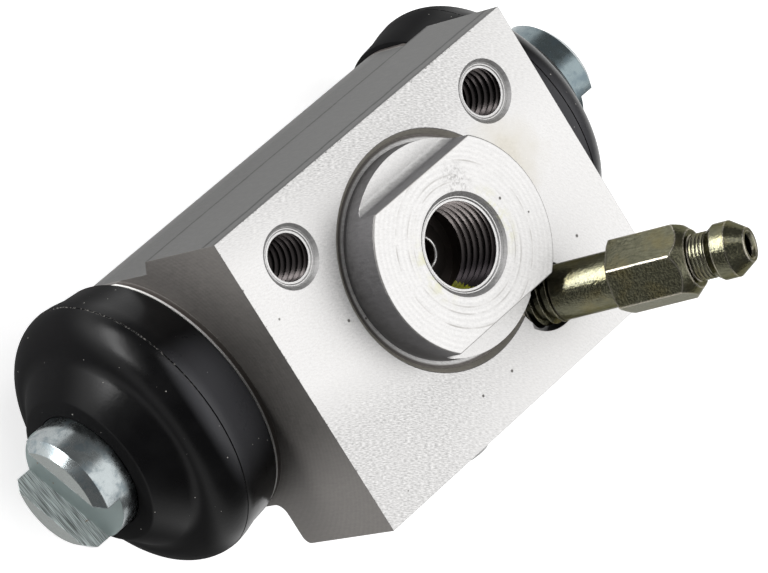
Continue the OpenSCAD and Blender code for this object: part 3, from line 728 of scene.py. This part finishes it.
@dataclass(frozen=True)
class MouldedRubber:
    """Moulded black rubber: a low sheen that wanders a little, and white dust caught on it."""

    name: str
    black: str = "#050506"
    bloom: str = "#0b0b0c"
    level: str = "#48484b"
    dust: str = "#cfccc6"
    bloom_mm: float = 3.0
    speck_mm: float = 0.8
    drift_mm: float = 4.55
    crumb_mm: float = 0.25
    skin_mm: float = 0.333
    dusty: float = 1.0
    line_x: float = 0.0
    flash: float = 0.0

    def build(self) -> bpy.types.Material:
        """Builds the material; bloom greys it in patches and specks of dust lie on top."""
        material, add, shader = new_material(self.name)
        mm = millimetres(add)
        patch = add("TexNoise", {"Vector": mm, "Scale": 1 / self.bloom_mm, "Detail": 5.0, "Roughness": 0.6})
        grey = add("MapRange", (patch, 0.42, 0.7))
        tone = add("Mix", {0: grey, 6: linear(self.black), 7: linear(self.bloom)}, **MIX_COLOURS)
        # Painted sheen, with some fine dust, greys what faces up.
        facing = add("NewGeometry", out="Normal")
        upward = add("SeparateXYZ", (facing,), out=2)
        upward_sheen_and_dust = add("MapRange", (upward, 0.8, 1.0, 0.0, 0.9), interpolation_type="SMOOTHSTEP")
        tone = add("Mix", {0: upward_sheen_and_dust, 6: tone, 7: linear(self.level)}, **MIX_COLOURS)
        cells = add("TexVoronoi", {"Vector": mm, "Scale": 1 / self.speck_mm})
        chosen = add("SeparateColor", (cells.node.outputs["Color"],)).node.outputs
        drift = add("TexNoise", {"Vector": mm, "Scale": 1 / self.drift_mm, "Detail": 2.0})
        few = add("MapRange", (drift, 0.36, 0.62, 0.92, 0.25))
        spot = add("MapRange", (chosen[1], few, 1.0, 0.0, 0.1 * self.dusty))
        lying = add("Math", (spot, cells.node.outputs["Distance"]), operation="SUBTRACT")
        specks = add("MapRange", (lying, 0.0, 0.02, 0.0, 0.8))
        tone = add("Mix", {0: specks, 6: tone, 7: linear(self.dust)}, **MIX_COLOURS)
        # Torn flash along the mould's parting line, on the upper half of the boot.
        axes = add("SeparateXYZ", (mm,)).node.outputs
        far_x = add("Math", (axes[0],), operation="ABSOLUTE")
        off_line = add("Math", (far_x, self.line_x), operation="SUBTRACT")
        off_line = add("Math", (off_line,), operation="ABSOLUTE")
        on_line = add("MapRange", (off_line, 0.06, 0.12, 1.0, 0.0))
        crumbs = add("TexNoise", {"Vector": mm, "Scale": 1 / self.crumb_mm, "Detail": 2.0})
        crumb = add("MapRange", (crumbs, 0.52, 0.62, 0.0, self.flash))
        upper = add("MapRange", (axes[1], 2.0, 7.0))
        flash = on_line
        for mask in (crumb, upper):
            flash = add("Math", (flash, mask), operation="MULTIPLY")
        tone = add("Mix", {0: flash, 6: tone, 7: linear(self.dust)}, **MIX_COLOURS)
        # The upper side is polished by handling; the rest keeps the dull skin of the mould.
        dull = add("MapRange", (upward, 0.15, 0.5, 0.85, 0.22), interpolation_type="SMOOTHSTEP")
        gloss = add("Math", (patch, 0.15, dull), operation="MULTIPLY_ADD")
        skin = add("TexNoise", {"Vector": mm, "Scale": 1 / self.skin_mm, "Detail": 4.0})
        bump = add("Bump", {"Height": skin, "Strength": 0.15, "Distance": 0.05 * MM})
        plug(shader, {"Base Color": tone, "Roughness": gloss, "Specular IOR Level": 0.14, "Normal": bump})
        return material


@dataclass(frozen=True)
class SpringSteel:
    """Plain drawn steel of the hidden spring and spreaders, with faint drawing lines."""

    steel: str = "#8f9193"
    dark: str = "#6c6e71"
    mottle_mm: float = 1.11

    def build(self) -> bpy.types.Material:
        """Builds the material; mottled grey with a satin gloss."""
        material, add, shader = new_material("drawn_spring_steel")
        place = add("TexCoord", out="Object")
        mottle = add("TexNoise", {"Vector": place, "Scale": 1 / (self.mottle_mm * MM), "Detail": 3.0})
        tone = add("Mix", {0: mottle, 6: linear(self.dark), 7: linear(self.steel)}, **MIX_COLOURS)
        gloss = add("MapRange", {0: mottle, 3: 0.28, 4: 0.42})
        plug(shader, {"Base Color": tone, "Metallic": 1.0, "Roughness": gloss})
        return material


@dataclass
class ThreadedHole:
    """Ridges of one tapped hole, with the cone that its countersink leaves on the first turn."""

    name: str
    centre: tuple[float, float]
    mouth_z: float
    wall_r: float
    crest_r: float
    pitch: float
    turns: int
    lead_depth: float
    start_deg: float = 156.0
    flank_deg: float = 30.0
    crest_half: float = 0.04
    run_in: float = 0.35
    bite: float = 0.02
    steps: int = 48

    def place(self) -> Matrix:
        """Returns the place of the hole's axis."""
        return Matrix.Translation((self.centre[0] * MM, self.centre[1] * MM, 0))

    def ridges(self, finish: bpy.types.Material) -> bpy.types.Object:
        """Winds the ridge down the hole.

        Args:
            finish: Thread material.

        Returns:
            The ridge piece.
        """
        half = (self.wall_r - self.crest_r) * math.tan(math.radians(self.flank_deg))
        low = self.mouth_z - self.lead_depth - self.run_in - self.turns * self.pitch
        section = ridge_section(self.wall_r + self.bite, self.crest_r, low, half, self.crest_half)
        piece = helix(f"{self.name}_ridges", section, self.pitch, self.turns, self.steps)
        turned = Matrix.Rotation(math.radians(self.start_deg), 4, "Z")
        settle(piece, self.place() @ turned, sharp_deg=25)
        return join_body(piece, finish)

    def lead(self, finish: bpy.types.Material) -> bpy.types.Object:
        """Turns the countersink's inner cone and the flat ring below it, where the thread begins.

        Args:
            finish: Body material.

        Returns:
            The lead ring.
        """
        low = self.mouth_z - self.lead_depth
        drop = (self.wall_r - self.crest_r) / 3
        section = [
            (self.wall_r + 0.01, 0, self.mouth_z - 0.01),
            (self.wall_r - drop, 0, self.mouth_z - self.lead_depth * 0.6),
            (self.wall_r - drop * 1.5, 0, self.mouth_z - self.lead_depth * 0.62),
            (self.wall_r - drop * 2.1, 0, low),
            (self.crest_r - 0.06, 0, low - 0.02),
            (self.crest_r - 0.08, 0, low - 0.1),
            (self.wall_r + 0.01, 0, low - 0.5),
        ]
        piece = trace(f"{self.name}_lead", section, closed=True)
        spin_about((0, 0, 1), 2 * self.steps)
        settle(piece, self.place(), sharp_deg=20)
        return join_body(piece, finish)


@dataclass
class Body:
    """The machined body with the threads of its port and tapped holes."""

    port: ThreadedHole
    tapped: tuple[ThreadedHole, ThreadedHole]
    seat_z: float = -2.6
    passage_r: float = 1.55
    rim_half: float = 0.15
    bead_r: float = 0.14
    bead_sides: int = 8

    def make(self) -> list[bpy.types.Object]:
        """Dresses the body and cuts its threads.

        Returns:
            The pieces added.
        """
        metal = MilledAluminium().build()
        thread = CutThread().build()
        dress(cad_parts["cylinder_body"], metal)
        pieces = []
        for hole in (self.port, *self.tapped):
            pieces += [hole.ridges(thread), hole.lead(metal)]
        return pieces + [self.seat_rim(BurnishedRimPaintedHighlight().build())]

    def seat_rim(self, finish: bpy.types.Material) -> bpy.types.Object:
        """Turns the bright rim round the passage at the tip of the port's seat.

        Args:
            finish: Rim material.

        Returns:
            The rim.
        """
        centre = self.passage_r + self.rim_half
        section = round_section((centre, self.seat_z), self.bead_r, self.bead_sides)
        piece = trace("port_seat_rim", section, closed=True)
        spin_about((0, 0, 1), 72)
        settle(piece, Matrix.Identity(4), sharp_deg=25)
        return join_body(piece, finish)


@dataclass
class Bleeder:
    """The bleeder screw with the thread that shows at the face and the turned rings of its neck."""

    core_r: float = 2.5
    thread_r: float = 2.97
    thread_from: float = -1.5
    flank_deg: float = 32.0
    crest_half: float = 0.05
    bite: float = 0.02
    pitch: float = 1.0
    turns: int = 3
    steps: int = 48
    neck_r: float = 2.28
    neck_from: float = 16.75
    neck_to: float = 18.35
    ring_mm: float = 0.4
    ring_h: float = 0.1

    def make(self) -> list[bpy.types.Object]:
        """Dresses the screw and adds its fine turned detail.

        Returns:
            The pieces added.
        """
        metal = OliveChromate().build()
        dress(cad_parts["bleeder_screw"], metal)
        half = (self.thread_r - self.core_r) * math.tan(math.radians(self.flank_deg))
        low = self.thread_from + half
        section = ridge_section(self.core_r - self.bite, self.thread_r, low, half, self.crest_half)
        thread = helix("bleeder_thread", section, self.pitch, self.turns, self.steps)
        rings = trace("bleeder_neck_rings", self.ring_section(), closed=True)
        spin_about((0, 0, 1), 72)
        fine = OliveChromate("olive_chromated_ridges", edge_mm=0.03).build()
        for piece in (thread, rings):
            settle(piece, bleeder_place(), sharp_deg=25)
            dress(piece, fine)
            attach(piece, "bleeder")
        return [thread, rings]

    def ring_section(self) -> list[Point]:
        """Returns the saw-toothed section of the neck's rings, closed along the neck."""
        count = int((self.neck_to - self.neck_from) / self.ring_mm)
        inner, foot, crest = self.neck_r - self.bite, self.neck_r + 0.005, self.neck_r + self.ring_h
        points = [(inner, 0.0, self.neck_from)]
        for i in range(count):
            start = self.neck_from + i * self.ring_mm
            points.append((foot, 0.0, start + 0.01))
            points += [(crest, 0.0, start + self.ring_mm * part) for part in (0.35, 0.75)]
        end = self.neck_from + count * self.ring_mm
        return points + [(foot, 0.0, end), (inner, 0.0, end)]


@dataclass
class Boot:
    """One rubber boot: collar, bulge with its parting line, valley, neck and lip."""

    end: End
    flash: float
    spigot_r: float = 12.45
    back: float = 0.75
    seat: float = 4.45
    collar_back_r: float = 14.25
    collar_r: float = 14.45
    boot_r: float = 14.9
    bulge_at: float = 5.6
    bulge_r: float = 3.75
    valley_r: float = 2.5
    valley_turn: float = 13.0
    slope: float = 43.0
    neck_r: float = 8.4
    front: float = 12.65
    line_at: float = 6.0
    nose_r: float = 6.5
    wall: float = 1.3
    line_half: float = 0.07
    line_depth: float = 0.09
    still_to: float = 5.2
    moved_from: float = 12.0
    steps: int = 160

    def arc(
        self, centre: tuple[float, float], radius: float, start: float, stop: float, count: int = 0
    ) -> list[Point]:
        """Places points along an arc of the boot's section.

        Args:
            centre: Radius and distance of the arc's centre.
            radius: Radius of the arc.
            start: First angle, from the bore's direction.
            stop: Last angle.
            count: Number of steps, or none for the first point alone.

        Returns:
            Points in the XZ plane.
        """
        points = []
        for i in range(count + 1):
            angle = math.radians(start + (stop - start) * i / max(count, 1))
            along = END_X + centre[1] + radius * math.cos(angle)
            points.append((centre[0] + radius * math.sin(angle), 0.0, along))
        return points

    def section(self) -> list[Point]:
        """Returns the closed section of the boot, in millimetres from the middle of the bore."""
        bulge = (self.boot_r - self.bulge_r, self.bulge_at)
        turn = math.radians(self.valley_turn)
        apart = self.bulge_r + self.valley_r
        valley = (bulge[0] + apart * math.sin(turn), bulge[1] + apart * math.cos(turn))
        leave = 270 - self.slope
        outer = [
            (self.spigot_r, 0.0, END_X + self.back),
            (self.collar_back_r - 0.45, 0.0, END_X + self.back),
            (self.collar_back_r - 0.13, 0.0, END_X + self.back + 0.13),
            (self.collar_back_r, 0.0, END_X + self.back + 0.45),
            (self.collar_r, 0.0, END_X + 3.2),
            (self.boot_r - 0.12, 0.0, END_X + self.bulge_at - 0.9),
            (self.boot_r, 0.0, END_X + self.bulge_at),
        ]
        lie = math.degrees(math.acos((self.line_at - self.bulge_at) / self.bulge_r))
        spread = math.degrees(self.line_half / self.bulge_r)
        outer += self.arc(bulge, self.bulge_r, lie + spread, lie + spread)
        outer += self.arc(bulge, self.bulge_r - self.line_depth, lie, lie)
        outer += self.arc(bulge, self.bulge_r, lie - spread, self.valley_turn, 24)
        outer += self.arc(valley, self.valley_r, 180 + self.valley_turn, leave, 10)[1:]
        tip = outer[-1]
        reach = (tip[0] - self.neck_r) / math.tan(math.radians(self.slope))
        outer += [
            (self.neck_r, 0.0, tip[2] + reach),
            (self.neck_r - 0.3, 0.0, tip[2] + reach + 0.13),
            (self.nose_r + 0.3, 0.0, END_X + self.front),
            (self.nose_r, 0.0, END_X + self.front),
            (self.nose_r, 0.0, END_X + self.front - 0.9),
        ]
        inner = self.arc(valley, self.valley_r + self.wall, leave, 180 + self.valley_turn, 8)
        inner += self.arc(bulge, self.bulge_r - self.wall, self.valley_turn, 90, 10)[1:]
        inner += [(self.boot_r - self.wall, 0.0, END_X + self.seat), (self.spigot_r, 0.0, END_X + self.seat)]
        return outer + inner

    def make(self) -> list[bpy.types.Object]:
        """Turns the boot.

        Returns:
            The boot.
        """
        side = self.end.name.lower()
        name = f"moulded_rubber_boot_{side}"
        rubber = MouldedRubber(name, line_x=END_X + self.line_at, flash=self.flash).build()
        piece = trace(f"{side}_boot_skin", self.section(), closed=True)
        spin_about((0, 0, 1), self.steps)
        settle(piece, bore_place(self.end), sharp_deg=30)
        dress(piece, rubber)
        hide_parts(f"{side}_boot")
        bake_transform(piece)
        return [piece]


@dataclass
class PistonEnd:
    """One piston with the cup and the spreader behind it."""

    end: End
    slot_turn: float
    plating_and_shade: str

    def make(self) -> list[bpy.types.Object]:
        """Dresses the three turned pieces.

        Returns:
            No added pieces.
        """
        side = self.end.name.lower()
        finishes = {
            "piston": ZincPlate(self.end, self.slot_turn, self.plating_and_shade),
            "cup_seal": MouldedRubber(f"moulded_rubber_cup_{side}", dusty=0.0),
            "cup_spreader": SpringSteel(),
        }
        for node, finish in finishes.items():
            dress(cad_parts[f"{side}_{node}"], finish.build())
        return []


@dataclass
class ReturnSpring:
    """The coil spring between the spreaders, in two halves."""

    coil_r: float = 4.9
    wire_r: float = 0.48
    half_length: float = 8.7
    turns: int = 3
    wire_sides: int = 10
    steps: int = 36

    def make(self) -> list[bpy.types.Object]:
        """Winds each half of the spring.

        Returns:
            The two halves.
        """
        steel = SpringSteel().build()
        pitch = self.half_length / self.turns
        pieces = []
        for end in End:
            side = end.name.lower()
            section = round_section((self.coil_r, 0), self.wire_r, self.wire_sides)
            piece = helix(f"{side}_spring_coil", section, pitch, self.turns, self.steps)
            settle(piece, bore_place(end), sharp_deg=50)
            dress(piece, steel)
            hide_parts("return_spring")
            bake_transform(piece)
            pieces.append(piece)
        return pieces


@dataclass(frozen=True)
class Softbox:
    """One soft lamp: where it stands in metres, its size, and how bright its front looks (1 is white)."""

    name: str
    place: Point
    width: float
    height: float
    brightness: float


@dataclass
class Studio:
    """Pale floor, soft lamps and a long-lens camera."""

    eye: Point = (-282.67, 123.73, 407.92)
    right: Point = (0.63263, -0.51224, 0.58085)
    up: Point = (0.55289, 0.82391, 0.12442)
    back: Point = (-0.54230, 0.24243, 0.80445)
    lens: float = 243.7
    sensor: float = 36.0
    floor_z: float = -36.3
    floor_size: float = 6.0
    paper: str = "#f2f2f2"
    glow: float = 0.62
    white: tuple[float, float, float, float] = (1, 1, 1, 1)
    surround: float = 0.25
    lamps: tuple[Softbox, ...] = (
        Softbox("face_softbox", (0.25, -0.18, 0.5), 0.7, 0.7, 1.85),
        Softbox("strip_softbox", (-0.24, 0.38, 0.02), 0.4, 0.1, 18.0),
        Softbox("top_softbox", (0.06, 0.42, 0.58), 0.2, 0.2, 4.0),
    )

    def make(self) -> list[bpy.types.Object]:
        """Sets up floor, world, lamps and camera.

        Returns:
            The floor.
        """
        scene = bpy.context.scene
        scene.view_settings.view_transform = "Standard"
        self.camera(scene)
        self.world(scene)
        for lamp in self.lamps:
            self.hang(lamp)
        return [self.floor()]

    def camera(self, scene: bpy.types.Scene) -> None:
        """Places the camera at the photograph's viewing angle."""
        data = bpy.data.cameras.new("studio_camera")
        data.sensor_fit = "HORIZONTAL"
        data.sensor_width = self.sensor
        data.lens = self.lens
        data.clip_start = 0.01
        camera = bpy.data.objects.new("studio_camera", data)
        scene.collection.objects.link(camera)
        axes = Matrix((self.right, self.up, self.back)).transposed().to_4x4()
        camera.matrix_world = Matrix.Translation(Vector(self.eye) * MM) @ axes
        scene.camera = camera

    def world(self, scene: bpy.types.Scene) -> None:
        """Makes a dim, even surrounding, as of a dark studio."""
        world = bpy.data.worlds.new("studio_world")
        scene.world = world
        world.use_nodes = True
        plug(world.node_tree.nodes["Background"], {"Color": self.white, "Strength": self.surround})

    def hang(self, lamp: Softbox) -> None:
        """Hangs one softbox, aimed at the part.

        Args:
            lamp: The softbox.
        """
        data = bpy.data.lights.new(lamp.name, "AREA")
        data.shape = "RECTANGLE"
        data.size = lamp.width
        data.size_y = lamp.height
        data.energy = lamp.brightness * math.pi * lamp.width * lamp.height
        shade = bpy.data.objects.new(lamp.name, data)
        bpy.context.scene.collection.objects.link(shade)
        shade.location = lamp.place
        shade.rotation_euler = (-Vector(lamp.place)).to_track_quat("-Z", "Y").to_euler()

    def floor(self) -> bpy.types.Object:
        """Lays the pale floor just under the boots.

        Returns:
            The floor.
        """
        deselect()
        bpy.ops.mesh.primitive_plane_add(size=self.floor_size, location=(0, 0, self.floor_z * MM))
        floor = bpy.context.object
        floor.name = "studio_floor"
        material, add, shader = new_material("white_paper_floor")
        # The paper looks white to the camera and in the metal, and sheds no more light on the part.
        path = add("LightPath").node.outputs
        seen = path["Is Camera Ray"]
        for ray in ("Is Glossy Ray", "Is Transmission Ray"):
            seen = add("Math", (seen, path[ray]), operation="MAXIMUM")
        glow = add("Math", (seen, self.glow), operation="MULTIPLY")
        plug(shader, {"Base Color": linear(self.paper), "Roughness": 0.9})
        plug(shader, {"Emission Color": self.white, "Emission Strength": glow})
        dress(floor, material)
        return floor


def main() -> None:
    """Builds each sub-assembly in order and reports its pieces."""
    logging.basicConfig(level=logging.INFO, format="%(message)s")
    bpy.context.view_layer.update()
    assemblies = [
        Studio(),
        Body(
            port=ThreadedHole("port", (0, 0), 4.25, 5.0, 4.42, 1.0, 6, 0.38),
            tapped=(
                ThreadedHole("tapped_left", (-TAPPED_X, TAPPED_Y), -0.3, 3.0, 2.46, 1.0, 9, 0.25),
                ThreadedHole("tapped_right", (TAPPED_X, TAPPED_Y), -0.3, 3.0, 2.46, 1.0, 9, 0.25),
            ),
        ),
        Bleeder(),
        # The right piston's plating is given a darker colour than the left's: painted shade, as both are the
        # same zinc.
        PistonEnd(End.LEFT, 35, "#949a9b"),
        PistonEnd(End.RIGHT, 35, "#717c7f"),
        ReturnSpring(),
        Boot(End.LEFT, flash=0.25),
        Boot(End.RIGHT, flash=0.05),
    ]
    for assembly in assemblies:
        for piece in assembly.make():
            log.info("%s: %d faces", piece.name, len(piece.data.polygons))


if __name__ == "__main__":
    main()
